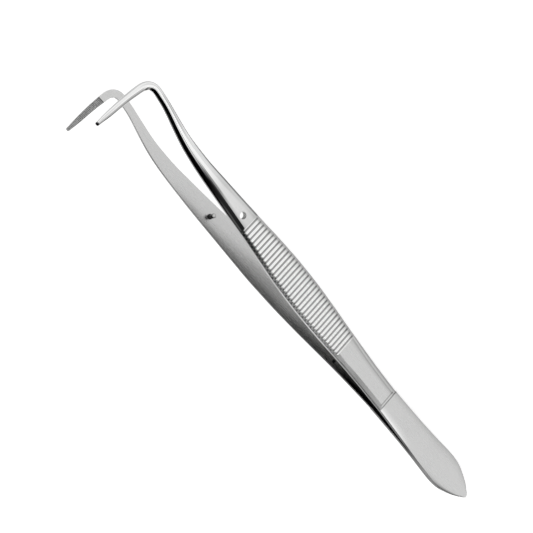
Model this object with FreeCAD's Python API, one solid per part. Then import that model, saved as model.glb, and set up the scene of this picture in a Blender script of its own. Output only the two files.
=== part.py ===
import FreeCAD, Part
import math
import os

# Angled spring tweezers with a guide pin, lying on their side: +X runs from the welded tail
# towards the bent tips, the tips bend up along +Z, and the two arms open along Y.
# The arms are mirror images about the plane Y = 0. Lengths are in millimetres.
# Stations are first given from the tail end (x = 0) and from the arm's centre line (z = 0);
# the finished solids are then moved so that the origin is under the middle of the part.

os.makedirs("parts", exist_ok=True)

# ---- driving dimensions -------------------------------------------------------------------
WELD_END = 20.0          # the two tail plates are joined face to face up to here
FLAT_START = 12.0        # from here to the weld's end the tail's outer faces are flat and parallel
SHOULDER_X = 39.6        # the thin tail plate ends here in a short ramp
RAMP_LENGTH = 0.9
PLATE_T = 1.2            # thickness of one tail plate
GRIP_START = 60.98       # cross grooves of the finger grip
GRIP_END = 106.02
GRIP_COUNT = 35
GRIP_DEPTH = 0.30
GRIP_RADIUS = 0.35
HOLE_X = 109.0           # guide hole in the front arm
HOLE_Z = 0.38
HOLE_D = 1.85
PIN_X = 108.8            # guide pin in the rear arm
PIN_Z = 0.45
PIN_D = 1.25
PIN_REACH = 2.8          # how far the pin stands out of the inner face
PIN_ROUND = 0.18
TEETH_START = 1.6        # fine cross teeth on the inner faces of the bent tips (z of first and last)
TEETH_END = 13.5
TEETH_COUNT = 35
TEETH_DEPTH = 0.12
TIP_Z = 13.95            # end of the bent tips, above the centre line
PIT_X = 56.9             # tiny pit on the rear arm's inner face
PIT_Z = 2.5
PIT_D = 0.7
PIT_DEPTH = 0.28

# outline of one arm in the X-Z plane: upper edge and lower edge against x
TOP_EDGE = [(0.0, 0.30), (1.0, 1.08), (3.0, 2.32), (6.0, 3.62), (9.0, 4.46), (12.0, 4.70), (16.0, 4.54),
            (21.0, 4.28), (27.0, 3.97), (33.0, 3.75), (40.0, 3.56), (48.0, 3.62), (56.0, 3.82),
            (64.0, 4.18), (72.0, 4.52), (80.0, 4.68), (88.0, 4.57), (96.0, 4.13), (104.0, 3.62),
            (112.0, 3.22), (119.0, 2.76), (126.0, 2.16), (132.0, 1.29), (138.0, -0.15),
            (143.0, -1.42), (145.5, -1.78)]
LOW_EDGE = [(0.0, -0.30), (1.0, -1.08), (3.0, -2.32), (6.0, -3.58), (9.0, -4.48), (12.0, -4.80), (16.0, -4.64),
            (21.0, -4.34), (27.0, -3.99), (33.0, -3.76), (40.0, -3.56), (48.0, -3.60), (56.0, -3.83),
            (64.0, -4.19), (72.0, -4.58), (80.0, -4.78), (88.0, -4.60), (96.0, -4.05), (104.0, -3.28),
            (112.0, -2.68), (119.0, -2.24), (126.0, -1.90), (132.0, -2.05), (138.0, -2.83),
            (143.0, -3.68), (145.5, -4.03)]
# elbow and tip: outer edge point, inner edge point
BEND = [((147.30, -4.18), (147.20, -1.96)),
        ((148.85, -3.90), (147.95, -1.88)),
        ((150.15, -3.02), (148.50, -1.60)),
        ((151.05, -1.68), (148.90, -1.10)),
        ((151.42, -0.15), (149.18, -0.38)),
        ((151.60, 1.50), (149.48, 1.40)),
        ((151.72, 3.10), (149.72, 3.05)),
        ((151.82, 5.00), (149.93, 4.95)),
        ((151.87, 7.00), (150.09, 6.95)),
        ((151.88, 9.20), (150.24, 9.15)),
        ((151.84, 11.30), (150.45, 11.30)),
        ((151.78, 12.60), (150.62, 12.60)),
        ((151.70, TIP_Z), (150.78, TIP_Z))]

# distance of the inner face from the plane Y = 0, against the distance along the arm
INNER = [(20.0, 0.0), (22.0, 0.11), (24.0, 0.27), (27.0, 0.49), (30.0, 0.72), (36.0, 1.19), (44.0, 1.87),
         (52.0, 2.58), (60.0, 3.31), (70.0, 4.25), (80.0, 5.29), (90.0, 6.46), (100.0, 7.72),
         (110.0, 8.83), (120.0, 9.66), (130.0, 10.25), (140.0, 10.68), (147.0, 10.92),
         (151.0, 10.90), (155.0, 10.62), (160.0, 10.25), (165.0, 9.88)]
# total thickness, height of the side wall and width of the sloped edge of the front part
THICK = [(39.6, 1.50), (60.0, 1.65), (85.0, 1.62), (105.0, 1.68), (118.0, 1.70), (130.0, 1.66),
         (140.0, 1.58), (147.0, 1.50), (152.0, 1.36), (158.0, 1.12), (165.0, 0.74)]
WALL = [(39.6, 0.90), (60.0, 1.08), (85.0, 1.06), (105.0, 1.08), (118.0, 1.02), (130.0, 0.95),
        (140.0, 0.86), (147.0, 0.78), (152.0, 0.66), (158.0, 0.52), (165.0, 0.34)]
SLOPE = [(39.6, 1.25), (52.0, 1.25), (61.0, 1.05), (97.0, 1.00), (106.0, 1.14), (118.0, 1.14),
         (126.0, 1.05), (138.0, 0.80), (147.0, 0.62), (152.0, 0.60), (158.0, 0.50), (165.0, 0.30)]
# thickness of the tail plate against x
PLATE = [(0.0, 0.70), (2.0, 0.84), (5.0, 1.02), (9.0, 1.16), (FLAT_START, PLATE_T), (40.0, PLATE_T)]


def curve(table, x):
    """Smooth interpolation that never overshoots between the table's points."""
    n = len(table)
    if x <= table[0][0]:
        return table[0][1]
    if x >= table[-1][0]:
        return table[-1][1]
    h = [table[i + 1][0] - table[i][0] for i in range(n - 1)]
    d = [(table[i + 1][1] - table[i][1]) / h[i] for i in range(n - 1)]
    m = [d[0]] + [0.0] * (n - 2) + [d[-1]]
    for i in range(1, n - 1):
        if d[i - 1] * d[i] > 0:
            a, b = 2 * h[i] + h[i - 1], h[i] + 2 * h[i - 1]
            m[i] = (a + b) / (a / d[i - 1] + b / d[i])
    k = 0
    while x > table[k + 1][0]:
        k += 1
    t = (x - table[k][0]) / h[k]
    return ((2 * t ** 3 - 3 * t ** 2 + 1) * table[k][1] + (t ** 3 - 2 * t ** 2 + t) * h[k] * m[k]
            + (-2 * t ** 3 + 3 * t ** 2) * table[k + 1][1] + (t ** 3 - t ** 2) * h[k] * m[k + 1])


def stations():
    """Outer-edge point, inner-edge point and distance along the arm for the front part."""
    out = []
    xs = [SHOULDER_X, 42.0, 45.0]
    x = 48.0
    while x < 144.0:
        xs.append(x)
        x += 3.0
    xs += [143.6, 145.5]
    xs = sorted(set(v for v in xs if v <= 141.5 or v in (143.6, 145.5)))
    for v in xs:
        out.append(((v, curve(LOW_EDGE, v)), (v, curve(TOP_EDGE, v)), v))
    s = xs[-1]
    last = ((out[-1][0][0] + out[-1][1][0]) / 2, (out[-1][0][1] + out[-1][1][1]) / 2)
    for a, b in BEND:
        mid = ((a[0] + b[0]) / 2, (a[1] + b[1]) / 2)
        s += math.hypot(mid[0] - last[0], mid[1] - last[1])
        last = mid
        out.append((a, b, s))
    return out


def rail(points, params):
    c = Part.BSplineCurve()
    c.interpolate(Points=[FreeCAD.Vector(*p) for p in points], Parameters=params)
    return c


def strip(a, b):
    """Ruled face between two rails that share their parameters; a plane where both lie in one."""
    heights = [p.y for p in a.getPoles() + b.getPoles()]
    if max(heights) - min(heights) < 1e-7:
        ends = [Part.makeLine(a.value(t), b.value(t)) for t in (a.FirstParameter, a.LastParameter)]
        return Part.Face(Part.Wire([a.toShape(), ends[1], b.toShape(), ends[0]]))
    surface = Part.BSplineSurface()
    surface.buildFromPolesMultsKnots([a.getPoles(), b.getPoles()], [2, 2], a.getMultiplicities(),
                                     [0.0, 1.0], a.getKnots(), False, False, 1, a.Degree)
    return surface.toShape()


def skin(rails):
    """Closed solid between rails that run the length of a piece, in order round its section."""
    faces = [strip(rails[i], rails[(i + 1) % len(rails)]) for i in range(len(rails))]
    for end in (0, 1):
        pts = [r.value(r.FirstParameter if end == 0 else r.LastParameter) for r in rails]
        faces.append(Part.Face(Part.makePolygon(pts + [pts[0]])))
    shell = Part.makeShell(faces)
    shell.sewShape()
    solid = Part.makeSolid(Part.Shell(shell.Faces))
    if solid.Volume < 0:
        solid.reverse()
    return solid


def front_part():
    st = stations()
    params = [s for _, _, s in st]
    rows = []
    for a, b, s in st:
        y = curve(INNER, s)
        t, w, r = curve(THICK, s), curve(WALL, s), curve(SLOPE, s)
        width = math.hypot(b[0] - a[0], b[1] - a[1])
        r = min(r, 0.36 * width)
        ux, uz = (b[0] - a[0]) / width, (b[1] - a[1]) / width
        rows.append([(a[0], -y, a[1]), (b[0], -y, b[1]), (b[0], -y - w, b[1]),
                     (b[0] - ux * r, -y - t, b[1] - uz * r), (a[0] + ux * r, -y - t, a[1] + uz * r),
                     (a[0], -y - w, a[1])])
    return skin([rail([row[i] for row in rows], params) for i in range(6)])


def tail_part(x0, x1, step):
    n = max(3, int(round((x1 - x0) / step)))
    xs = [x0 + (x1 - x0) * i / n for i in range(n + 1)]
    if x0 == 0.0:
        xs = [0.0, 0.5, 1.0, 2.0, 3.0, 4.5] + [v for v in xs if v > 5.5]
    rows = []
    for x in xs:
        y = 0.0 if x <= WELD_END else curve(INNER, x)
        t, hi, lo = curve(PLATE, x), curve(TOP_EDGE, x), curve(LOW_EDGE, x)
        rows.append([(x, -y, lo), (x, -y, hi), (x, -y - t, hi), (x, -y - t, lo)])
    return skin([rail([row[i] for row in rows], xs) for i in range(4)])


def inner_slope(x):
    return (curve(INNER, x + 0.5) - curve(INNER, x - 0.5)) / 1.0


# ---- one arm, on the front side (negative Y) ------------------------------------------------
front = front_part()

# short ramp from the tail plate up to the raised part
y_sh = curve(INNER, SHOULDER_X)
slope_sh = inner_slope(SHOULDER_X)
rise = curve(THICK, SHOULDER_X) - PLATE_T
ramp = Part.Face(Part.makePolygon([FreeCAD.Vector(*p) for p in (
    (SHOULDER_X - 0.5, -(y_sh + PLATE_T - 0.5 * (rise / RAMP_LENGTH + slope_sh)), -8),
    (SHOULDER_X + RAMP_LENGTH, -(y_sh + PLATE_T + rise + RAMP_LENGTH * slope_sh), -8),
    (SHOULDER_X + RAMP_LENGTH, -(y_sh + 4.0), -8),
    (SHOULDER_X - 0.5, -(y_sh + 4.0), -8),
    (SHOULDER_X - 0.5, -(y_sh + PLATE_T - 0.5 * (rise / RAMP_LENGTH + slope_sh)), -8))])).extrude(
    FreeCAD.Vector(0, 0, 16))
front = front.cut(ramp)

tail = tail_part(0.0, FLAT_START, 2.0).fuse([tail_part(FLAT_START, WELD_END, 2.0),
                                             tail_part(WELD_END, SHOULDER_X, 2.0)])
arm = tail.fuse(front)
arm = arm.removeSplitter()

# finger grip: round-bottomed grooves straight across the outer face
pitch = (GRIP_END - GRIP_START) / GRIP_COUNT
tools = []
for k in range(GRIP_COUNT):
    x = GRIP_START + pitch * (k + 0.5)
    y = -(curve(INNER, x) + curve(THICK, x))
    tools.append(Part.makeCylinder(GRIP_RADIUS, 14.0, FreeCAD.Vector(x, y - (GRIP_RADIUS - GRIP_DEPTH), -7.0),
                                   FreeCAD.Vector(0, 0, 1)))
# fine teeth straight across the inner face of the bent tip
base_s = stations()[-1][2] - TIP_Z
tooth = (TEETH_END - TEETH_START) / (TEETH_COUNT - 1)
for k in range(TEETH_COUNT):
    z = TEETH_START + tooth * k
    y = -curve(INNER, base_s + z)
    half = tooth * 0.42
    tri = Part.Face(Part.makePolygon([FreeCAD.Vector(*p) for p in (
        (148.0, y + 0.05, z - half * 1.4), (148.0, y + 0.05, z + half * 1.4),
        (148.0, y - TEETH_DEPTH, z), (148.0, y + 0.05, z - half * 1.4))]))
    tools.append(tri.extrude(FreeCAD.Vector(5.0, 0, 0)))
arm = arm.cut(tools)

rear = arm.mirror(FreeCAD.Vector(0, 0, 0), FreeCAD.Vector(0, 1, 0))

# guide hole, square to the front arm's inner face
m = inner_slope(HOLE_X)
n_front = FreeCAD.Vector(-m, -1.0, 0.0)
n_front.normalize()
start = FreeCAD.Vector(HOLE_X, -curve(INNER, HOLE_X), HOLE_Z) - n_front * 1.5
front_arm = arm.cut(Part.makeCylinder(HOLE_D / 2, 6.0, start, n_front))

# guide pin, square to the rear arm's inner face, pressed through the arm, flush with its outer face
m = inner_slope(PIN_X)
n_rear = FreeCAD.Vector(-m, 1.0, 0.0)
n_rear.normalize()
seat = FreeCAD.Vector(PIN_X, curve(INNER, PIN_X), PIN_Z)
bore = Part.makeCylinder(PIN_D / 2, 6.0, seat - n_rear * 1.5, n_rear)
rear_arm = rear.cut(bore)
depth = (curve(THICK, PIN_X) - 0.02) / math.sqrt(1.0 + m * m)
guide_pin = Part.makeCylinder(PIN_D / 2, PIN_REACH + depth, seat - n_rear * PIN_REACH, n_rear)
guide_pin = guide_pin.makeFillet(PIN_ROUND, [e for e in guide_pin.Edges
                                             if e.Closed and abs((e.CenterOfMass - seat).dot(n_rear) + PIN_REACH) < 1e-3])

# tiny pit on the rear arm's inner face
m = inner_slope(PIT_X)
n_pit = FreeCAD.Vector(-m, 1.0, 0.0)
n_pit.normalize()
pit_seat = FreeCAD.Vector(PIT_X, curve(INNER, PIT_X), PIT_Z)
rear_arm = rear_arm.cut(Part.makeCone(PIT_D / 2 + 0.1, PIT_D / 2 - 0.1, PIT_DEPTH + 0.2, pit_seat - n_pit * 0.2, n_pit))

# ---- move into the part's frame: middle of the length and width, resting on Z = 0 -----------
points = front_arm.tessellate(0.005)[0] + rear_arm.tessellate(0.005)[0]
x_low, x_high = min(p.x for p in points), max(p.x for p in points)
z_low = min(p.z for p in points)
shift = FreeCAD.Vector(-(x_low + x_high) / 2, 0, -z_low)
for name, shape in (("front_arm", front_arm), ("rear_arm", rear_arm), ("guide_pin", guide_pin)):
    shape = shape.copy()
    if shape.ShapeType == "Compound" and len(shape.Solids) == 1:
        shape = shape.Solids[0]
    shape.translate(shift)
    b = shape.BoundBox
    print(name, shape.ShapeType, "valid", shape.isValid(), "solids", len(shape.Solids),
          "volume %.2f" % shape.Volume, "faces", len(shape.Faces),
          "box %.3f %.3f %.3f  %.3f %.3f %.3f" % (b.XMin, b.YMin, b.ZMin, b.XMax, b.YMax, b.ZMax))
    shape.exportStep("parts/%s.step" % name)
print("shift %.6f %.6f %.6f" % (shift.x, shift.y, shift.z))
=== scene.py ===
import math

import bmesh
import bpy
import numpy as np
from mathutils import Matrix, Vector


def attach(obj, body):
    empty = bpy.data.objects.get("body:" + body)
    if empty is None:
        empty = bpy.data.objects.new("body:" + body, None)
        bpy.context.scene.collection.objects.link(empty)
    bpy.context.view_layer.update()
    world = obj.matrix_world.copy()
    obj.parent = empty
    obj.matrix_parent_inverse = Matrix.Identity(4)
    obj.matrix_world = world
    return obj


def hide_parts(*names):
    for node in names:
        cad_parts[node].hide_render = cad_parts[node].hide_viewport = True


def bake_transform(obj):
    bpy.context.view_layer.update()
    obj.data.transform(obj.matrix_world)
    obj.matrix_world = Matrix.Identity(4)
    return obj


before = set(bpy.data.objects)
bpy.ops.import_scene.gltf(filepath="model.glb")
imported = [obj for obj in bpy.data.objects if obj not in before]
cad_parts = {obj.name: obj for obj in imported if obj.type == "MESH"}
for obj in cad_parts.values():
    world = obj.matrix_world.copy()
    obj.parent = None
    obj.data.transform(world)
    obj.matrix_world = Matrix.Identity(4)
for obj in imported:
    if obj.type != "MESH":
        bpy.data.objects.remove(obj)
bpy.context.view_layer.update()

# Angled spring tweezers lying on their side. Lengths in the tables are millimetres, with x from the
# tail's end and z from the arm's centre line; SHIFT brings them into the part's frame.
MM = 0.001
SHIFT = np.array([-75.940786, 0.0, 4.8])
WELD_END = 20.0
FLAT_START = 12.0
SHOULDER_X = 39.6
RAMP_LENGTH = 0.9
PLATE_T = 1.2
GRIP_START, GRIP_END, GRIP_COUNT, GRIP_DEPTH = 60.98, 106.02, 35, 0.30
HOLE = (109.0, 0.38, 1.85)
PIN = (108.80, 0.45, 1.25, 2.8, 0.18)
TEETH = (1.6, 13.5, 35, 0.12)
TIP_Z = 13.95
PIT = (56.9, 2.5, 0.7, 0.28)

TOP_EDGE = [(0.0, 0.30), (1.0, 1.08), (3.0, 2.32), (6.0, 3.62), (9.0, 4.46), (12.0, 4.70), (16.0, 4.54),
            (21.0, 4.28), (27.0, 3.97), (33.0, 3.75), (40.0, 3.56), (48.0, 3.62), (56.0, 3.82),
            (64.0, 4.18), (72.0, 4.52), (80.0, 4.68), (88.0, 4.57), (96.0, 4.13), (104.0, 3.62),
            (112.0, 3.22), (119.0, 2.76), (126.0, 2.16), (132.0, 1.29), (138.0, -0.15),
            (143.0, -1.42), (145.5, -1.78)]
LOW_EDGE = [(0.0, -0.30), (1.0, -1.08), (3.0, -2.32), (6.0, -3.58), (9.0, -4.48), (12.0, -4.80), (16.0, -4.64),
            (21.0, -4.34), (27.0, -3.99), (33.0, -3.76), (40.0, -3.56), (48.0, -3.60), (56.0, -3.83),
            (64.0, -4.19), (72.0, -4.58), (80.0, -4.78), (88.0, -4.60), (96.0, -4.05), (104.0, -3.28),
            (112.0, -2.68), (119.0, -2.24), (126.0, -1.90), (132.0, -2.05), (138.0, -2.83),
            (143.0, -3.68), (145.5, -4.03)]
BEND = [((147.30, -4.18), (147.20, -1.96)),
        ((148.85, -3.90), (147.95, -1.88)),
        ((150.15, -3.02), (148.50, -1.60)),
        ((151.05, -1.68), (148.90, -1.10)),
        ((151.42, -0.15), (149.18, -0.38)),
        ((151.60, 1.50), (149.48, 1.40)),
        ((151.72, 3.10), (149.72, 3.05)),
        ((151.82, 5.00), (149.93, 4.95)),
        ((151.87, 7.00), (150.09, 6.95)),
        ((151.88, 9.20), (150.24, 9.15)),
        ((151.84, 11.30), (150.45, 11.30)),
        ((151.78, 12.60), (150.62, 12.60)),
        ((151.70, TIP_Z), (150.78, TIP_Z))]
INNER = [(20.0, 0.0), (22.0, 0.11), (24.0, 0.27), (27.0, 0.49), (30.0, 0.72), (36.0, 1.19), (44.0, 1.87),
         (52.0, 2.58), (60.0, 3.31), (70.0, 4.25), (80.0, 5.29), (90.0, 6.46), (100.0, 7.72),
         (110.0, 8.83), (120.0, 9.66), (130.0, 10.25), (140.0, 10.68), (147.0, 10.92),
         (151.0, 10.90), (155.0, 10.62), (160.0, 10.25), (165.0, 9.88)]
THICK = [(39.6, 1.50), (60.0, 1.65), (85.0, 1.62), (105.0, 1.68), (118.0, 1.70), (130.0, 1.66),
         (140.0, 1.58), (147.0, 1.50), (152.0, 1.36), (158.0, 1.12), (165.0, 0.74)]
WALL = [(39.6, 0.90), (60.0, 1.08), (85.0, 1.06), (105.0, 1.08), (118.0, 1.02), (130.0, 0.95),
        (140.0, 0.86), (147.0, 0.78), (152.0, 0.66), (158.0, 0.52), (165.0, 0.34)]
SLOPE = [(39.6, 1.25), (52.0, 1.25), (61.0, 1.05), (97.0, 1.00), (106.0, 1.14), (118.0, 1.14),
         (126.0, 1.05), (138.0, 0.80), (147.0, 0.62), (152.0, 0.60), (158.0, 0.50), (165.0, 0.30)]
PLATE = [(0.0, 0.70), (2.0, 0.84), (5.0, 1.02), (9.0, 1.16), (12.0, PLATE_T), (40.0, PLATE_T)]

# radii of the broken edges, against the distance along the arm
SOFT_INNER = [(0.0, 0.01), (20.0, 0.01), (22.5, 0.07), (140.0, 0.07), (152.0, 0.10), (166.1, 0.08)]
SOFT_SIDE = [(0.0, 0.10), (39.59, 0.10), (39.61, 0.14), (104.0, 0.16), (112.0, 0.36), (150.0, 0.34), (166.1, 0.30)]
SOFT_OUTER = [(0.0, 0.10), (39.59, 0.10), (39.61, 0.20), (58.0, 0.25), (62.0, 0.80), (104.0, 0.80), (106.2, 0.30), (110.0, 0.35), (118.0, 1.50),
              (138.0, 1.40), (150.0, 0.70), (166.1, 0.45)]


def curve(table, x):
    """Smooth interpolation that never overshoots between the table's points."""
    n = len(table)
    if x <= table[0][0]:
        return table[0][1]
    if x >= table[-1][0]:
        return table[-1][1]
    h = [table[i + 1][0] - table[i][0] for i in range(n - 1)]
    d = [(table[i + 1][1] - table[i][1]) / h[i] for i in range(n - 1)]
    m = [d[0]] + [0.0] * (n - 2) + [d[-1]]
    for i in range(1, n - 1):
        if d[i - 1] * d[i] > 0:
            a, b = 2 * h[i] + h[i - 1], h[i] + 2 * h[i - 1]
            m[i] = (a + b) / (a / d[i - 1] + b / d[i])
    k = 0
    while x > table[k + 1][0]:
        k += 1
    t = (x - table[k][0]) / h[k]
    return ((2 * t ** 3 - 3 * t ** 2 + 1) * table[k][1] + (t ** 3 - 2 * t ** 2 + t) * h[k] * m[k]
            + (-2 * t ** 3 + 3 * t ** 2) * table[k + 1][1] + (t ** 3 - t ** 2) * h[k] * m[k + 1])


def straight(table, q):
    return np.interp(q, [p[0] for p in table], [p[1] for p in table])


def spline(t, v, q):
    """Natural cubic spline through the rows of v at parameters t, read at q."""
    t, v, q = np.asarray(t, float), np.asarray(v, float), np.asarray(q, float)
    n = len(t)
    h = np.diff(t)
    mat = np.zeros((n, n))
    rhs = np.zeros_like(v)
    mat[0, 0] = mat[-1, -1] = 1.0
    for i in range(1, n - 1):
        mat[i, i - 1], mat[i, i], mat[i, i + 1] = h[i - 1], 2 * (h[i - 1] + h[i]), h[i]
        rhs[i] = 6 * ((v[i + 1] - v[i]) / h[i] - (v[i] - v[i - 1]) / h[i - 1])
    m = np.linalg.solve(mat, rhs)
    k = np.clip(np.searchsorted(t, q) - 1, 0, n - 2)
    a = ((t[k + 1] - q) / h[k])[:, None]
    b = ((q - t[k]) / h[k])[:, None]
    hk = h[k][:, None]
    return a * v[k] + b * v[k + 1] + ((a ** 3 - a) * m[k] + (b ** 3 - b) * m[k + 1]) * hk ** 2 / 6


def front_stations():
    xs = [SHOULDER_X, 42.0, 45.0]
    x = 48.0
    while x < 144.0:
        xs.append(x)
        x += 3.0
    xs += [143.6, 145.5]
    xs = sorted(set(v for v in xs if v <= 141.5 or v in (143.6, 145.5)))
    out = [((v, curve(LOW_EDGE, v)), (v, curve(TOP_EDGE, v)), v) for v in xs]
    s = xs[-1]
    last = ((out[-1][0][0] + out[-1][1][0]) / 2, (out[-1][0][1] + out[-1][1][1]) / 2)
    for a, b in BEND:
        mid = ((a[0] + b[0]) / 2, (a[1] + b[1]) / 2)
        s += math.hypot(mid[0] - last[0], mid[1] - last[1])
        last = mid
        out.append((a, b, s))
    return out


# ---- sections along the arm --------------------------------------------------------------------
# one row per section: edge points a and b (x, z), inner face distance y, thickness, wall, slope
ST = front_stations()
S_END = ST[-1][2]
front_t = [s for _, _, s in ST]
front_v = []
for a, b, s in ST:
    width = math.hypot(b[0] - a[0], b[1] - a[1])
    front_v.append([a[0], a[1], b[0], b[1], curve(INNER, s), curve(THICK, s), curve(WALL, s),
                    min(curve(SLOPE, s), 0.36 * width)])


def tail_values(x0, x1, q):
    n = max(3, int(round((x1 - x0) / 2.0)))
    xs = [x0 + (x1 - x0) * i / n for i in range(n + 1)]
    if x0 == 0.0:
        xs = [0.0, 0.5, 1.0, 2.0, 3.0, 4.5] + [v for v in xs if v > 5.5]
    v = [[x, curve(LOW_EDGE, x), x, curve(TOP_EDGE, x), 0.0 if x <= WELD_END else curve(INNER, x),
          curve(PLATE, x)] for x in xs]
    return spline(xs, v, q)


PITCH = (GRIP_END - GRIP_START) / GRIP_COUNT
GROOVE_HALF = 0.39
TOOTH = (TEETH[1] - TEETH[0]) / (TEETH[2] - 1)
BASE_S = S_END - TIP_Z

tail_q = np.concatenate([[0.004, 0.02, 0.05, 0.09, 0.14, 0.2, 0.28, 0.38, 0.5, 0.65, 0.8], np.arange(1.0, 5.0, 0.25),
                         np.arange(5.0, 19.6, 0.5), [19.75, 20.0, 20.25], np.arange(20.5, 38.9, 0.5), [39.0, 39.2, 39.3, 39.36, 39.42, 39.48, 39.53, 39.58]])
front_q = np.concatenate([
    np.linspace(39.62, 41.1, 60), np.arange(41.5, 60.6, 0.5),
    np.arange(GRIP_START - 0.4, GRIP_END + 0.41, PITCH / 14),
    np.arange(107.0, 111.0, 0.25), np.arange(111.0, 144.9, 0.6),
    np.arange(145.2, BASE_S + 1.0, 0.22), np.arange(BASE_S + 1.0, S_END - 0.95, TOOTH / 8),
    np.linspace(S_END - 0.94, S_END - 0.06, 26), [S_END - 0.03, S_END - 0.01, S_END]])
front_q = np.unique(np.round(front_q, 5))

tv = np.vstack([tail_values(0.0, FLAT_START, tail_q[tail_q <= FLAT_START]),
                tail_values(FLAT_START, WELD_END, tail_q[(tail_q > FLAT_START) & (tail_q <= WELD_END)]),
                tail_values(WELD_END, SHOULDER_X, tail_q[tail_q > WELD_END])])
fv = spline(front_t, front_v, front_q)
S = np.concatenate([tail_q, front_q])
N = len(S)
tail_mask = S < SHOULDER_X
A = np.vstack([tv[:, 0:2], fv[:, 0:2]])
B = np.vstack([tv[:, 2:4], fv[:, 2:4]])
Y = np.concatenate([tv[:, 4], fv[:, 4]])
T = np.concatenate([tv[:, 5], fv[:, 5]])
WIDTH = np.linalg.norm(B - A, axis=1)
U = (B - A) / WIDTH[:, None]
soft = np.where(tail_mask, 0.04, 0.0)
W = np.concatenate([tv[:, 5] - 0.04, fv[:, 6]])
R = np.concatenate([np.full(len(tail_q), 0.04), fv[:, 7]])

# rounded point of the leaf
point = np.sqrt(np.clip(2 * 0.6 * S, 0, None))
half = np.where(S < 2.0, np.minimum(WIDTH / 2, point), WIDTH / 2)
MID = (A + B) / 2
A = MID - U * half[:, None]
B = MID + U * half[:, None]
WIDTH = 2 * half
nose = np.clip(S / 0.35, 0, 1)
thin = np.where(S < 0.35, 0.72 + 0.28 * np.sqrt(1 - (1 - nose) ** 2), 1.0)
T, W = T * thin, W * thin

# height of the outer face: ramp, grip grooves, curved-in end
H = T.copy()
slope_sh = (curve(INNER, SHOULDER_X + 0.5) - curve(INNER, SHOULDER_X - 0.5))
rise = curve(THICK, SHOULDER_X) - PLATE_T
on_ramp = (~tail_mask) & (S < SHOULDER_X + 3.0)
y_sh = curve(INNER, SHOULDER_X)
ramp_h = y_sh + PLATE_T + (S - SHOULDER_X) * (rise / RAMP_LENGTH + slope_sh) - Y
H = np.where(on_ramp, np.minimum(H, ramp_h), H)
# cutter marks along the foot and the top of the ramp
MARK = 0.05 * np.exp(-((S - SHOULDER_X) / 0.15) ** 2) + 0.04 * np.exp(-((S - SHOULDER_X - RAMP_LENGTH - 0.04) / 0.14) ** 2)
H = H - MARK
phase = (S - GRIP_START) / PITCH
off = np.abs(phase - np.floor(phase) - 0.5) * PITCH / GROOVE_HALF       # 0 in a groove's middle, 1 at its edge
groove = np.where((S > GRIP_START) & (S < GRIP_END) & (off < 1), 0.5 + 0.5 * np.cos(np.pi * np.clip(off, 0, 1)), 0.0)
groove = groove ** 0.85
H = H - GRIP_DEPTH * groove
on_land = np.clip(1.0 - groove / 0.35, 0, 1) * ((S > GRIP_START) & (S < GRIP_END))
end = S_END - S
q = np.clip(end / 0.9, 0, 1)
H = H * np.where(end < 0.9, 0.28 + 0.72 * np.sqrt(np.clip(1 - (1 - q) ** 2, 0, None)), 1.0)
W = np.minimum(W, H - 0.03)
R = np.minimum(R, R * (H - W) / np.maximum(T - W, 1e-6) + 1e-4)
R = np.maximum(R, 0.02)
R = np.minimum(R, 0.42 * WIDTH)
# the top edge's bevel: wider on the neck, and the grip's lands reach further out over it
R_TOP = R * (1.0 - 0.42 * on_land) + straight([(58.0, 0.0), (62.0, 0.38), (98.0, 0.38), (106.0, 0.22), (112.0, 0.32), (119.0, 0.24), (126.0, 0.14), (134.0, 0.0)], S)
R_TOP = np.minimum(R_TOP, 0.46 * WIDTH)

# side inset at the rounded end
R_END = 0.34
k = np.clip(end / R_END, 0, 1)
INSET = np.where(end < R_END, R_END - R_END * np.sqrt(np.clip(1 - (1 - k) ** 2, 0, None)), 0.0)
INSET_Y = INSET * 0.45

# fine cross teeth on the inner face of the tip
tz = S - BASE_S
tp = (tz - TEETH[0]) / TOOTH
tri = np.abs(tp - np.round(tp)) * 2.0                 # 0 at a tooth's valley, 1 between
inside = (tz > TEETH[0] - TOOTH / 2) & (tz < TEETH[1] + TOOTH / 2)
CUT = np.where(inside, TEETH[3] * np.clip(1.0 - tri / 0.86, 0, 1), 0.0)


def lerp(a, b, f):
    return a + (b - a) * f


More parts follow.
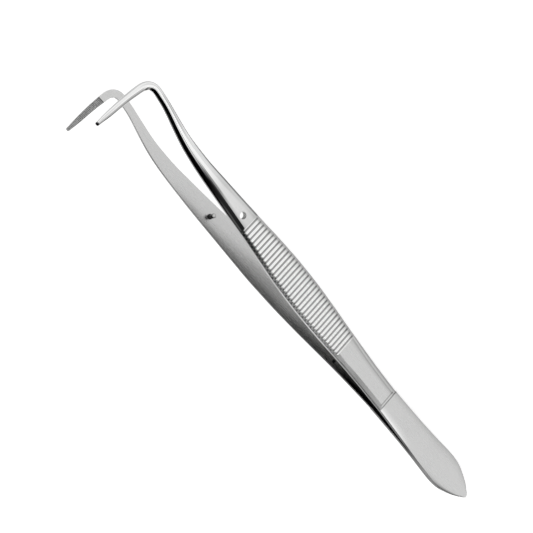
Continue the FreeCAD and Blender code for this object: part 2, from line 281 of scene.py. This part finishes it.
def section_loop(i):
    """Closed outline of one section as (across, height) points, corner by corner, with broken edges."""
    w, ins, iy = WIDTH[i], INSET[i], INSET_Y[i]
    lo = iy + CUT[i] * (1.0 if CUT[i] > 0 else 0.0)
    hi = max(H[i] - INSET[i] * 0.2, lo + 0.02)
    wl = min(max(W[i], lo + 0.01), hi - 0.005)
    r = R[i]
    c = [(ins, lo), (w - ins, lo), (w - ins, wl), (max(w - R_TOP[i], w / 2 + 0.005), hi), (min(r, w / 2 - 0.005), hi), (ins, wl)]
    if ins > 0:
        c[3] = (min(c[3][0], w - ins - 0.01), hi)
        c[4] = (max(c[4][0], ins + 0.01), hi)
    c = [np.array(p) for p in c]
    rad = [straight(SOFT_INNER, S[i]), straight(SOFT_INNER, S[i]), straight(SOFT_SIDE, S[i]), straight(SOFT_OUTER, S[i]),
           straight(SOFT_OUTER, S[i]), straight(SOFT_SIDE, S[i])]
    pts = []
    arcs = []
    for j in range(6):
        p0, p1, p2 = c[j - 1], c[j], c[(j + 1) % 6]
        e0, e1 = p0 - p1, p2 - p1
        l0, l1 = np.linalg.norm(e0), np.linalg.norm(e1)
        e0, e1 = e0 / max(l0, 1e-9), e1 / max(l1, 1e-9)
        cosang = np.clip(np.dot(e0, e1), -0.9999, 0.9999)
        ang = math.acos(cosang)
        d = rad[j] / math.tan(ang / 2)
        d = min(d, 0.46 * l0, 0.46 * l1)
        s0, s1 = p1 + e0 * d, p1 + e1 * d
        wgt = math.sin(ang / 2)
        arc = []
        for f in ARC:
            b0, b1, b2 = (1 - f) ** 2, 2 * f * (1 - f) * wgt, f * f
            arc.append((s0 * b0 + p1 * b1 + s1 * b2) / (b0 + b1 + b2))
        arcs.append(arc)
    for j in range(6):
        pts.extend(arcs[j])
        nxt = arcs[(j + 1) % 6][0]
        for f in (FACE_RUN if EDGE[j] == 8 else np.linspace(0, 1, EDGE[j] + 1)[1:-1]):
            pts.append(lerp(arcs[j][-1], nxt, f))
    return pts


ARC = np.linspace(0, 1, 5)
FACE_RUN = [0.035, 0.10, 0.25, 0.50, 0.75, 0.90, 0.965]
EDGE = [8, 2, 3, 8, 3, 2]            # pieces of the straight runs after each corner
LOOP = 6 * len(ARC) + sum(n - 1 for n in EDGE)
FIRST = [sum(len(ARC) + EDGE[k] - 1 for k in range(j)) for j in range(6)]   # index of each corner's first point


# Painted shade and painted highlights along the arm, laid into the steel's colour through the tone attribute: 0
# plain, above 0 painted darker, below 0 painted brighter. x runs from the tail's end.
FACE_MID = [(30.0, 0.0), (110.0, 0.0), (118.0, 0.10), (124.0, 0.0), (134.0, -0.07), (141.0, -0.06),
            (146.0, -0.17), (150.0, 0.0), (156.0, -0.02), (162.0, 0.10)]
FACE_LOW = [(0.0, 0.22), (30.0, 0.24), (39.59, 0.25), (39.61, 0.40), (104.0, 0.30), (110.0, 0.12), (118.0, 0.20), (124.0, 0.20), (132.0, 0.26), (137.0, 0.44), (145.0, 0.50),
            (148.0, 0.30), (150.5, 0.20), (153.0, 0.10), (158.0, 0.12)]
FACE_TOP = [(0.0, 0.10), (24.0, 0.0), (32.0, -0.45), (39.59, -0.45), (39.61, 0.0), (103.0, 0.0), (107.0, 0.25), (113.0, 0.28), (118.0, 0.60), (124.0, 0.70), (128.0, 0.20), (136.0, -0.15),
            (141.0, -0.55), (146.0, 0.0), (150.0, -0.15),
            (152.0, 0.38), (156.0, 0.48), (162.0, 0.42)]
LOW_BEVEL = [(0.0, 0.25), (39.59, 0.25), (39.61, 0.10), (60.0, 0.05), (65.0, -0.08), (75.0, 0.04), (85.0, -0.14), (95.0, 0.03), (104.0, 0.15),
             (110.0, 0.08), (118.0, 0.26), (126.0, 0.24), (134.0, 0.14), (140.0, 0.34), (145.0, 0.35), (148.0, 0.22), (152.0, 0.02), (156.0, 0.08), (162.0, 0.0)]
TOP_BEVEL = [(0.0, 0.75), (8.0, 0.6), (14.0, 0.2), (39.59, 0.2), (39.61, -0.03), (46.0, 0.12), (52.0, 0.28), (58.0, -0.05), (62.0, 0.28), (75.0, 0.24), (85.0, 0.48), (94.0, 0.56), (97.5, 0.80), (100.5, 0.95), (103.5, 0.97), (122.0, 0.97), (125.0, 0.75), (129.0, 0.25), (133.0, 0.0), (146.0, 0.0), (149.0, 0.62), (152.0, 0.62), (156.0, 0.68), (162.0, 0.62)]
TOP_WALL = [(0.0, 0.97), (8.0, 0.95), (12.0, 0.55), (16.0, 0.34), (20.0, 0.72), (25.0, 0.93), (35.0, 0.64), (41.0, 0.35),
            (52.0, 0.22), (58.0, 0.05), (63.0, -0.30), (66.0, -0.65), (85.0, -0.65), (95.0, -0.25), (104.0, 0.05), (114.0, 0.20), (122.0, 0.45), (136.0, 0.45), (145.0, 0.3), (149.0, -0.25), (160.0, -0.35)]
TOP_WALL_REAR = [(0.0, 0.55), (40.0, 0.5), (58.0, 0.85), (70.0, 0.95), (82.0, 0.60), (94.0, 0.65), (106.0, 0.60), (118.0, 0.30),
                 (130.0, 0.60), (141.0, 0.1), (150.0, 0.0)]
INNER_MID = [(20.0, 0.33), (46.0, 0.33), (52.0, 0.38), (58.0, 0.25), (64.0, 0.05), (70.0, 0.0), (76.0, -0.08), (86.0, 0.0)]
INNER_TOP = [(20.0, 0.5), (40.0, 0.60), (48.0, 0.75), (53.0, 0.4), (58.0, 0.25), (64.0, 0.50), (70.0, 0.45), (82.0, 0.45), (94.0, 0.38), (106.0, 0.35), (113.0, 0.28), (122.0, 0.0)]


# Per-vertex painted shade and painted highlights for one arm, from the tables above
def shade_array(side):
    a = len(ARC)
    sh = np.zeros((N, LOOP))
    top_wall = straight(TOP_WALL if side > 0 else TOP_WALL_REAR, S)
    low_bevel, top_bevel = straight(LOW_BEVEL, S), straight(TOP_BEVEL, S)
    # outer face, from the top side (f = 1) to the low side (f = 0), with painted shade and painted highlights towards
    # both edges
    run = [0.0] * a + FACE_RUN + [1.0] * a
    for k in range(FIRST[3], FIRST[4] + a):
        f = 1.0 - run[k - FIRST[3]]
        sh[:, k] = (straight(FACE_MID, S) + straight(FACE_LOW, S) * min(max((0.15 - f) / 0.13, 0.0), 1.0)
                    + straight(FACE_TOP, S) * min(max((f - 0.85) / 0.11, 0.0), 1.0))
    # painted shade on the top bevel
    for k in range(FIRST[2] + a, FIRST[3] + 2):
        sh[:, k] = top_bevel
    # painted dark lines along the low edge, on top of the low bevel's painted shade
    edge_1 = straight([(0.0, 0.56), (39.6, 0.30), (60.0, 0.30), (70.0, 0.56), (142.0, 0.56), (147.0, 0.28), (152.0, 0.32)], S)
    edge_2 = straight([(0.0, 0.10), (148.0, 0.12), (153.0, 0.25)], S)
    for k in range(FIRST[4] + a - 2, FIRST[5]):
        sh[:, k] = low_bevel + (edge_1 if k == FIRST[5] - 1 else edge_2 if k == FIRST[5] - 2 else 0.0)
    for k in range(FIRST[5], FIRST[5] + a):
        sh[:, k] = low_bevel + straight([(0.0, 0.70), (39.6, 0.40), (60.0, 0.40), (70.0, 0.65), (141.0, 0.68), (146.0, 0.32), (152.0, 0.38), (162.0, 0.40)], S)
    # painted shade on the low wall and its corners
    for k in list(range(FIRST[5] + a, LOOP)) + [0, 1]:
        sh[:, k] = 0.4
    # painted shade and painted highlights on the top wall
    for k in range(FIRST[1] + 2, FIRST[2] + 2):
        sh[:, k] = top_wall
    # painted shade on the leaf's walls near the tail
    leaf = straight([(0.0, 0.97), (8.0, 0.85), (12.0, 0.3), (18.0, 0.0)], S)
    for k in range(FIRST[3] - 2, FIRST[3] + a + 1):
        sh[:, k] = np.where(leaf > 0, np.maximum(sh[:, k], leaf * (0.6 if k == FIRST[3] + a else 1.0)), sh[:, k])
    for k in range(FIRST[2] + 2, FIRST[2] + a):
        sh[:, k] = 0.5 * (top_wall + top_bevel)
    # inner face, from the low side (f = 0) to the top side, with painted shade deep in the gap towards the weld and
    # along the top edge
    run = [0.0] + FACE_RUN + [1.0]
    for k in range(a - 1, FIRST[1] + 1):
        f = run[k - a + 1]
        sh[:, k] = np.where(S > 19.0, straight(INNER_MID, S) + straight(INNER_TOP, S) * min(max((f - 0.72) / 0.15, 0.0), 1.0), 0.4)
    # grip: painted highlights on the lands, painted shade in the grooves, darkest where they run out over the edge,
    # and an even painted shade on the low bevel
    g = np.clip(groove, 0, 1)
    in_grip = np.clip((S - GRIP_START) / 0.3, 0, 1) * np.clip((GRIP_END - S) / 0.3, 0, 1)
    w = np.clip((g - 0.10) / 0.40, 0, 1)
    w = w * w * (3 - 2 * w)
    lands = in_grip * (0.34 * w - 0.44 * (1 - w))
    rim = in_grip * (straight([(90.0, 0.42), (98.0, 0.9)], S) * w - 1.0 * (1 - w))
    for k in range(FIRST[3] + a - 1, FIRST[4] + 2):
        sh[:, k] += lands
    for k in range(FIRST[3] - 1, FIRST[3] + a - 1):
        sh[:, k] += rim * (0.5 if k == FIRST[3] - 1 else 1.0)
    for k in range(FIRST[4] + 2, FIRST[5] + a):
        sh[:, k] = lerp(sh[:, k], 0.30 + 0.05 * w, in_grip)
    # painted shade in the scribed lines at the shoulder, painted shade and highlights on the toothed inner face,
    # painted shade on the rounded end
    for k in range(FIRST[3], FIRST[4] + a):
        sh[:, k] += MARK / 0.05 * 0.7
    toothed = -0.50 + 1.20 * CUT / TEETH[3] + 0.5 * np.exp(-((tp + 0.3) / 0.8) ** 2)
    for k in range(a - 1, FIRST[1] + 1):
        sh[:, k] = np.where(inside, toothed, sh[:, k])
    painted_end_shade = 0.95 * np.clip((S - (S_END - 0.75)) / 0.25, 0, 1)
    for k in list(range(FIRST[1] + 2, LOOP)) + [0, 1]:
        sh[:, k] = np.where(painted_end_shade > 0, np.maximum(sh[:, k], painted_end_shade), sh[:, k])
    return np.clip(sh, -0.75, 0.98)


def arm_arrays():
    co = np.zeros((N, LOOP, 3))
    for i in range(N):
        p = np.array(section_loop(i))
        co[i, :, 0] = A[i, 0] + U[i, 0] * p[:, 0]
        co[i, :, 2] = A[i, 1] + U[i, 1] * p[:, 0]
        co[i, :, 1] = -(Y[i] + p[:, 1])
    return co


def arm_mesh(name, side):
    """side 1 is the front arm, at negative Y; -1 its mirror image."""
    co = arm_arrays()
    if side < 0:
        co[:, :, 1] *= -1
    # the rounded nose also falls slightly short, so the cap closes at the end
    verts = ((co + SHIFT) * MM).reshape(-1, 3)
    i = np.arange(N - 1)[:, None]
    j = np.arange(LOOP)[None, :]
    j2 = (j + 1) % LOOP
    quads = np.stack([i * LOOP + j, i * LOOP + j2, (i + 1) * LOOP + j2, (i + 1) * LOOP + j], axis=-1).reshape(-1, 4)
    run0 = len(ARC) - 1
    inner_face = np.zeros(LOOP, bool)
    inner_face[run0 - 1:run0 + EDGE[0] + 1] = True
    mat = np.tile(np.where(inner_face, 1, 0), N - 1)
    faces = [tuple(f) for f in quads.tolist()]
    faces.append(tuple(range(LOOP))[::-1])
    faces.append(tuple((N - 1) * LOOP + k for k in range(LOOP)))
    mat = np.concatenate([mat, [0, 0]])
    if side > 0:
        faces = [f[::-1] for f in faces]
    me = bpy.data.meshes.new(name)
    me.from_pydata(verts.tolist(), [], faces)
    me.polygons.foreach_set("material_index", mat.astype(np.int32))
    layer = me.attributes.new("tone", "FLOAT", "POINT")
    layer.data.foreach_set("value", ((1.0 - shade_array(side)) / 2).reshape(-1).astype(np.float32))
    me.update()
    ob = bpy.data.objects.new(name, me)
    bpy.context.scene.collection.objects.link(ob)
    bm = bmesh.new()
    bm.from_mesh(me)
    bmesh.ops.remove_doubles(bm, verts=bm.verts, dist=1e-8)
    bmesh.ops.dissolve_degenerate(bm, edges=bm.edges, dist=1e-8)
    bmesh.ops.recalc_face_normals(bm, faces=bm.faces)
    bm.to_mesh(me)
    bm.free()
    return ob


def turned(name, profile, origin, axis, segments=64, shade=0.0, swing=0.0, swing_at=0.0):
    """Solid of revolution: profile is [(distance along axis, radius)] in millimetres, ends on the axis.
    shade is the painted shade or highlight per profile point (above 0 darker, below 0 brighter), swing how much it
    changes around the axis, painted darkest at the angle swing_at."""
    ax = Vector(axis).normalized()
    ref = Vector((0, 0, 1)) if abs(ax.z) < 0.9 else Vector((1, 0, 0))
    e1 = ax.cross(ref).normalized()
    e2 = ax.cross(e1)
    o = Vector(origin)
    bm = bmesh.new()
    rings = []
    for d, r in profile:
        if r < 1e-6:
            rings.append([bm.verts.new((o + ax * d) * MM)])
            continue
        ring = []
        for k in range(segments):
            t = 2 * math.pi * k / segments
            ring.append(bm.verts.new((o + ax * d + (e1 * math.cos(t) + e2 * math.sin(t)) * r) * MM))
        rings.append(ring)
    for r0, r1 in zip(rings, rings[1:]):
        for k in range(segments):
            k2 = (k + 1) % segments
            if len(r0) == 1:
                bm.faces.new((r0[0], r1[k], r1[k2]))
            elif len(r1) == 1:
                bm.faces.new((r0[k], r1[0], r0[k2]))
            else:
                bm.faces.new((r0[k], r1[k], r1[k2], r0[k2]))
    bmesh.ops.recalc_face_normals(bm, faces=bm.faces)
    me = bpy.data.meshes.new(name)
    bm.to_mesh(me)
    bm.free()
    layer = me.attributes.new("tone", "FLOAT", "POINT")
    shades = shade if isinstance(shade, list) else [shade] * len(profile)
    swings = swing if isinstance(swing, list) else [swing] * len(profile)
    tone = []
    for (d, r), v, sw in zip(profile, shades, swings):
        for k in range(1 if r < 1e-6 else segments):
            tone.append(min(max(v + (0.0 if r < 1e-6 else sw * math.cos(2 * math.pi * k / segments - swing_at)), -0.75), 0.98))
    layer.data.foreach_set("value", (1.0 - np.array(tone, np.float32)) / 2)
    ob = bpy.data.objects.new(name, me)
    bpy.context.scene.collection.objects.link(ob)
    return ob


def cut_out(ob, tool, origin, axis, reach, mat, shade=0.0, swing=0.0, swing_at=0.0, edge=0.0, deep=9.0):
    """Takes the tool out of the object. The faces within reach (mm) of the axis, down to deep, get the material
    and a painted shade, which swings around the axis; the cut's outer edge has its own painted shade."""
    mod = ob.modifiers.new("cut", "BOOLEAN")
    mod.operation = "DIFFERENCE"
    mod.solver = "EXACT"
    mod.object = tool
    dg = bpy.context.evaluated_depsgraph_get()
    me = bpy.data.meshes.new_from_object(ob.evaluated_get(dg))
    ob.modifiers.clear()
    old = ob.data
    ob.data = me
    me.name = ob.name
    bpy.data.meshes.remove(old)
    tool_me = tool.data
    bpy.data.objects.remove(tool)
    bpy.data.meshes.remove(tool_me)
    tone = np.zeros(len(me.vertices), np.float32)
    me.attributes["tone"].data.foreach_get("value", tone)
    rim = tone < 0.004
    co = np.zeros(len(me.vertices) * 3, np.float32)
    me.vertices.foreach_get("co", co)
    rel = co.reshape(-1, 3) / MM - np.array(origin)
    ax = np.array(Vector(axis).normalized())
    flat = rel - np.outer(rel @ ax, ax)
    near = (np.linalg.norm(flat, axis=1) < reach) & (np.abs(rel @ ax) < deep)
    e1 = np.cross(ax, (0.0, 0.0, 1.0))
    angle = np.arctan2(flat @ np.cross(ax, e1), flat @ e1)
    tone = np.where(near, (1.0 - np.clip(shade + swing * np.cos(angle - swing_at), -0.75, 0.98)) / 2, tone)
    tone[rim] = (1.0 - edge) / 2
    me.attributes["tone"].data.foreach_set("value", tone.astype(np.float32))
    if mat.name not in me.materials:
        me.materials.append(mat)
    index = me.materials.find(mat.name)
    for poly in me.polygons:
        if all(near[v] for v in poly.vertices):
            poly.material_index = index


def inner_slope(x):
    return curve(INNER, x + 0.5) - curve(INNER, x - 0.5)


def at(x, y, z):
    return Vector((x + SHIFT[0], y + SHIFT[1], z + SHIFT[2]))


# ---- materials ---------------------------------------------------------------------------------
def nodes_of(mat):
    mat.use_nodes = True
    nt = mat.node_tree
    nt.nodes.clear()
    return nt


def steel(name, rough_rear, rough_front, base, base_front=None, blend_x=None, rough_x=None, streak=0.55, grain=0.35, tint=(1.0, 1.0, 1.0)):
    """Stainless steel: fine lengthwise polishing lines, a faint mottled tone and uneven gloss.
    blend_x gives the two x stations (metres, part frame) between which the finish changes."""
    mat = bpy.data.materials.new(name)
    nt = nodes_of(mat)
    new, link = nt.nodes.new, nt.links.new
    out = new("ShaderNodeOutputMaterial")
    bsdf = new("ShaderNodeBsdfPrincipled")
    bsdf.inputs["Metallic"].default_value = 1.0
    link(bsdf.outputs["BSDF"], out.inputs["Surface"])
    co = new("ShaderNodeTexCoord")

    def mapped(scale):
        m = new("ShaderNodeMapping")
        m.inputs["Scale"].default_value = scale
        link(co.outputs["Object"], m.inputs["Vector"])
        return m

    def noise(vec, scale, detail, rough=0.5):
        n = new("ShaderNodeTexNoise")
        n.inputs["Scale"].default_value = scale
        n.inputs["Detail"].default_value = detail
        n.inputs["Roughness"].default_value = rough
        link(vec.outputs["Vector"], n.inputs["Vector"])
        return n

    lines = noise(mapped((90.0, 3600.0, 3600.0)), 1.0, 3.0, 0.6)
    cloud = noise(mapped((1.0, 1.0, 1.0)), 140.0, 3.0, 0.55)
    fine = noise(mapped((1.0, 1.0, 1.0)), 6500.0, 2.0, 0.6)

    def ranged(src, lo, hi, to_lo, to_hi):
        m = new("ShaderNodeMapRange")
        m.inputs["From Min"].default_value = lo
        m.inputs["From Max"].default_value = hi
        m.inputs["To Min"].default_value = to_lo
        m.inputs["To Max"].default_value = to_hi
        link(src, m.inputs["Value"])
        return m.outputs["Result"]

    def math_node(op, a, b):
        m = new("ShaderNodeMath")
        m.operation = op
        for sock, v in ((m.inputs[0], a), (m.inputs[1], b)):
            if isinstance(v, (int, float)):
                sock.default_value = v
            else:
                link(v, sock)
        return m.outputs[0]

    # where along the arm: 0 rear finish, 1 front finish; the front's brighter base colour is a painted highlight on
    # the polished neck, its lower roughness the real polish
    if blend_x:
        xyz = new("ShaderNodeSeparateXYZ")
        link(co.outputs["Object"], xyz.inputs[0])
        along = ranged(xyz.outputs["X"], blend_x[0], blend_x[1], 0.0, 1.0)
        base_rough = ranged(xyz.outputs["X"], rough_x[0], rough_x[1], rough_rear, rough_front)
        calm = ranged(along, 0.0, 1.0, 1.0, 0.15)
    else:
        base_rough, calm = rough_rear, 1.0

    # tone: the streaks and clouds only shift it by a few percent
    ramp = new("ShaderNodeValToRGB")
    lo = [c * t * 0.94 for c, t in zip(base, tint)]
    hi = [c * t * 1.03 for c, t in zip(base, tint)]
    ramp.color_ramp.elements[0].position = 0.30
    ramp.color_ramp.elements[0].color = (*lo, 1)
    ramp.color_ramp.elements[1].position = 0.70
    ramp.color_ramp.elements[1].color = (*[min(c, 1.0) for c in hi], 1)
    mixf = math_node("ADD", math_node("MULTIPLY", lines.outputs["Fac"], 0.45), math_node("MULTIPLY", cloud.outputs["Fac"], 0.55))
    link(mixf, ramp.inputs["Fac"])
    tone = ramp.outputs["Color"]
    if base_front:
        ramp2 = new("ShaderNodeValToRGB")
        ramp2.color_ramp.elements[0].position = 0.30
        ramp2.color_ramp.elements[0].color = (*[c * 0.96 for c in base_front], 1)
        ramp2.color_ramp.elements[1].position = 0.70
        ramp2.color_ramp.elements[1].color = (*[min(c * 1.03, 1.0) for c in base_front], 1)
        link(mixf, ramp2.inputs["Fac"])
        mix = new("ShaderNodeMix")
        mix.data_type = "RGBA"
        link(along, mix.inputs[0])
        link(tone, mix.inputs[6])
        link(ramp2.outputs["Color"], mix.inputs[7])
        tone = mix.outputs[2]
    # the tone attribute scales the colour: painted shade and painted highlights set per vertex
    attr = new("ShaderNodeAttribute")
    attr.attribute_name = "tone"
    keep = math_node("MULTIPLY", attr.outputs["Fac"], 2.0)
    scaled = new("ShaderNodeVectorMath")
    scaled.operation = "SCALE"
    link(tone, scaled.inputs[0])
    link(keep, scaled.inputs["Scale"])
    link(scaled.outputs[0], bsdf.inputs["Base Color"])

    # gloss: lines and cloudy patches
    var = math_node("ADD", ranged(lines.outputs["Fac"], 0.3, 0.7, -0.045, 0.045), ranged(cloud.outputs["Fac"], 0.3, 0.7, -0.03, 0.03))
    var = math_node("MULTIPLY", var, calm)
    link(math_node("ADD", base_rough, var), bsdf.inputs["Roughness"])

    bump = new("ShaderNodeBump")
    bump.inputs["Strength"].default_value = streak
    bump.inputs["Distance"].default_value = 0.000004
    link(math_node("MULTIPLY", lines.outputs["Fac"], calm), bump.inputs["Height"])
    bump2 = new("ShaderNodeBump")
    bump2.inputs["Strength"].default_value = grain
    bump2.inputs["Distance"].default_value = 0.000002
    link(math_node("MULTIPLY", fine.outputs["Fac"], calm), bump2.inputs["Height"])
    link(bump.outputs["Normal"], bump2.inputs["Normal"])
    link(bump2.outputs["Normal"], bsdf.inputs["Normal"])
    return mat


X_OFF = SHIFT[0] * MM
outer_steel = steel("steel_outer", 0.28, 0.09, (0.55, 0.55, 0.547), (0.80, 0.80, 0.797),
                    (105.0 * MM + X_OFF, 124.0 * MM + X_OFF), (88.0 * MM + X_OFF, 116.0 * MM + X_OFF))
inner_steel = steel("steel_inner", 0.27, 0.27, (0.54, 0.54, 0.537))
bore_steel = steel("steel_bore", 0.42, 0.42, (0.52, 0.52, 0.515), streak=0.4)
pin_steel = steel("steel_pin", 0.26, 0.26, (0.56, 0.56, 0.557), streak=0.3)

# ---- arms ----------------------------------------------------------------------------------------
front = arm_mesh("front_arm_finished", 1)
rear = arm_mesh("rear_arm_finished", -1)
for ob in (front, rear):
    ob.data.materials.append(outer_steel)
    ob.data.materials.append(inner_steel)

# guide hole with broken rims, square to the front arm's inner face
m = inner_slope(HOLE[0])
n_front = Vector((-m, -1.0, 0.0)).normalized()
hole_thick = (curve(THICK, HOLE[0])) / math.sqrt(1 + m * m)
rh = HOLE[2] / 2
tool = turned("hole_tool", [(-1.5, 0), (-1.5, rh + 0.06 + 1.5), (0.0, rh + 0.06), (0.07, rh), (hole_thick - 0.08, rh),
                            (hole_thick - 0.03, rh + 0.015), (hole_thick + 0.02, rh + 0.05), (hole_thick + 1.0, rh + 1.0), (hole_thick + 1.0, 0)],
              at(HOLE[0], -curve(INNER, HOLE[0]), HOLE[1]), n_front, 72)
# painted shade on the hole's wall, darkest towards one side and painted brighter towards the other
cut_out(front, tool, at(HOLE[0], -curve(INNER, HOLE[0]), HOLE[1]), n_front, rh + 0.12, bore_steel, -0.40, 1.15, math.radians(-25))

# pin bore and pit in the rear arm
m = inner_slope(PIN[0])
n_rear = Vector((-m, 1.0, 0.0)).normalized()
rp = PIN[2] / 2
seat = at(PIN[0], curve(INNER, PIN[0]), PIN[1])
pin_depth = (curve(THICK, PIN[0]) - 0.02) / math.sqrt(1 + m * m)
tool = turned("bore_tool", [(-0.5, 0), (-0.5, rp + 0.62), (0.0, rp + 0.12), (0.12, rp + 0.012), (pin_depth - 0.06, rp + 0.012),
                            (pin_depth + 0.04, rp + 0.07), (pin_depth + 0.6, rp + 0.5), (pin_depth + 0.6, 0)], seat, n_rear, 64)
# painted shade in the bore round the pin's foot
cut_out(rear, tool, seat, n_rear, rp + 0.12, bore_steel, 0.60)
m = inner_slope(PIT[0])
n_pit = Vector((-m, 1.0, 0.0)).normalized()
tool = turned("pit_tool", [(-0.3, 0), (-0.3, PIT[2] / 2 + 0.14), (0.0, PIT[2] / 2 + 0.03), (0.10, PIT[2] / 2 - 0.05), (0.2, PIT[2] / 2 - 0.15), (PIT[3], 0)],
              at(PIT[0], curve(INNER, PIT[0]), PIT[1]), n_pit, 40)
# the pit and its rim are painted near black, as shade in the recess
cut_out(rear, tool, at(PIT[0], curve(INNER, PIT[0]), PIT[1]), n_pit, PIT[2] / 2 + 0.14, pin_steel, 0.98, edge=0.98, deep=0.6)

# guide pin: domed free end, riveted and dressed outer end
prof = [(-PIN[3], 0.0), (-PIN[3], rp - PIN[4])]
for k in range(1, 9):
    t = k / 8 * math.pi / 2
    prof.append((-PIN[3] + PIN[4] * (1 - math.cos(t)), rp - PIN[4] + PIN[4] * math.sin(t)))
prof += [(-PIN[3] + 0.6, rp), (-1.2, rp), (-0.10, rp), (pin_depth - 0.10, rp), (pin_depth - 0.03, rp - 0.02), (pin_depth, rp - 0.07), (pin_depth, 0.0)]
# painted shade on the pin's base and lower side, painted highlight on its domed end
pin_tone = [-0.10, -0.05] + [0.60, 0.92, 0.92, 0.85, 0.74, 0.66, 0.62, 0.60] + [0.60, 0.90, 0.98, 0.5, 0.3, 0.3, 0.3]
pin_swing = [0.0, 0.05] + [0.1, 0.1, 0.20, 0.35, 0.5, 0.6, 0.65, 0.65] + [0.65, 0.25, 0.0, 0.0, 0.0, 0.0, 0.0]
pin = turned("guide_pin_finished", prof, seat, n_rear, 64, pin_tone, pin_swing, math.radians(248))
pin_steel.node_tree.nodes["Principled BSDF"].inputs["Specular Tint"].default_value = (0.25, 0.25, 0.25, 1)
for mat, metallic, level in ((pin_steel, 0.35, 0.08), (bore_steel, 0.45, 0.5)):
    mat.node_tree.nodes["Principled BSDF"].inputs["Metallic"].default_value = metallic
    mat.node_tree.nodes["Principled BSDF"].inputs["Specular IOR Level"].default_value = level
pin.data.materials.append(pin_steel)

for ob in (front, rear, pin):
    ob.data.shade_smooth()
    ob.data.set_sharp_from_angle(angle=math.radians(32))
    bpy.context.view_layer.update()

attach(front, "front")
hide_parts("front_arm")
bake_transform(rear)
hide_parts("rear_arm")
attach(pin, "rear")
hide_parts("guide_pin")

# ---- floor, light and camera ---------------------------------------------------------------------
floor_mesh = bpy.data.meshes.new("floor")
s = 6.0
floor_mesh.from_pydata([(-s, -s, 0), (s, -s, 0), (s, s, 0), (-s, s, 0)], [], [(0, 1, 2, 3)])
floor = bpy.data.objects.new("floor", floor_mesh)
bpy.context.scene.collection.objects.link(floor)
fmat = bpy.data.materials.new("floor_paper")
nt = nodes_of(fmat)
out = nt.nodes.new("ShaderNodeOutputMaterial")
diff = nt.nodes.new("ShaderNodeBsdfPrincipled")
diff.inputs["Base Color"].default_value = (0.80, 0.80, 0.80, 1)
diff.inputs["Roughness"].default_value = 1.0
diff.inputs["Specular IOR Level"].default_value = 0.0
diff.inputs["Emission Color"].default_value = (1, 1, 1, 1)
diff.inputs["Emission Strength"].default_value = 0.78
nt.links.new(diff.outputs[0], out.inputs["Surface"])
floor_mesh.materials.append(fmat)

world = bpy.data.worlds.new("studio")
bpy.context.scene.world = world
world.use_nodes = True
nt = world.node_tree
nt.nodes.clear()
w_out = nt.nodes.new("ShaderNodeOutputWorld")
w_mix = nt.nodes.new("ShaderNodeMixShader")
w_seen = nt.nodes.new("ShaderNodeBackground")
w_seen.inputs["Color"].default_value = (1, 1, 1, 1)
w_seen.inputs["Strength"].default_value = 1.0
w_lit = nt.nodes.new("ShaderNodeBackground")
w_co = nt.nodes.new("ShaderNodeTexCoord")
w_xyz = nt.nodes.new("ShaderNodeSeparateXYZ")
w_ramp = nt.nodes.new("ShaderNodeValToRGB")
w_ramp.color_ramp.interpolation = "EASE"
for pos, v in ((0.0, 0.30), (0.12, 0.40), (0.26, 0.90), (0.42, 0.90)):
    e = w_ramp.color_ramp.elements[0] if pos == 0.0 else w_ramp.color_ramp.elements.new(pos)
    e.position, e.color = pos, (v, v, v, 1)
w_ramp.color_ramp.elements[-1].position = 0.57
w_ramp.color_ramp.elements[-1].color = (0.0, 0.0, 0.0, 1)
nt.links.new(w_co.outputs["Generated"], w_xyz.inputs[0])
nt.links.new(w_xyz.outputs["Z"], w_ramp.inputs["Fac"])
nt.links.new(w_ramp.outputs["Color"], w_lit.inputs["Color"])
w_path = nt.nodes.new("ShaderNodeLightPath")
nt.links.new(w_path.outputs["Is Camera Ray"], w_mix.inputs["Fac"])
nt.links.new(w_lit.outputs[0], w_mix.inputs[1])
nt.links.new(w_seen.outputs[0], w_mix.inputs[2])
nt.links.new(w_mix.outputs[0], w_out.inputs["Surface"])

sun_data = bpy.data.lights.new("soft_top", "SUN")
sun_data.energy = 1.3
sun_data.angle = math.radians(88)
sun = bpy.data.objects.new("soft_top", sun_data)
bpy.context.scene.collection.objects.link(sun)
sun.rotation_mode = "QUATERNION"
sun.rotation_quaternion = Vector((-0.79, 0.10, -0.60)).to_track_quat("-Z", "Y")

cam_data = bpy.data.cameras.new("camera")
cam = bpy.data.objects.new("camera", cam_data)
bpy.context.scene.collection.objects.link(cam)
bpy.context.scene.camera = cam
cam_data.sensor_width = 36.0
cam_data.lens = 1475.04 / 533.0 * 36.0
cam_data.clip_start, cam_data.clip_end = 0.01, 50.0
RIGHT = Vector((-0.6098738255763934, -0.4662268536249208, -0.6408482174710494))
DOWN = Vector((-0.7167402171117764, -0.020535828620089583, 0.6970378332038012))
FORWARD = Vector((-0.33813810499761593, 0.8844268204333772, -0.3216392719285508))
centre = at(221.123158, -340.302736, 124.413622) * MM
cam.matrix_world = Matrix(((RIGHT.x, -DOWN.x, -FORWARD.x, centre.x),
                           (RIGHT.y, -DOWN.y, -FORWARD.y, centre.y),
                           (RIGHT.z, -DOWN.z, -FORWARD.z, centre.z),
                           (0, 0, 0, 1)))

bpy.context.scene.view_settings.view_transform = "Standard"

bpy.context.view_layer.update()
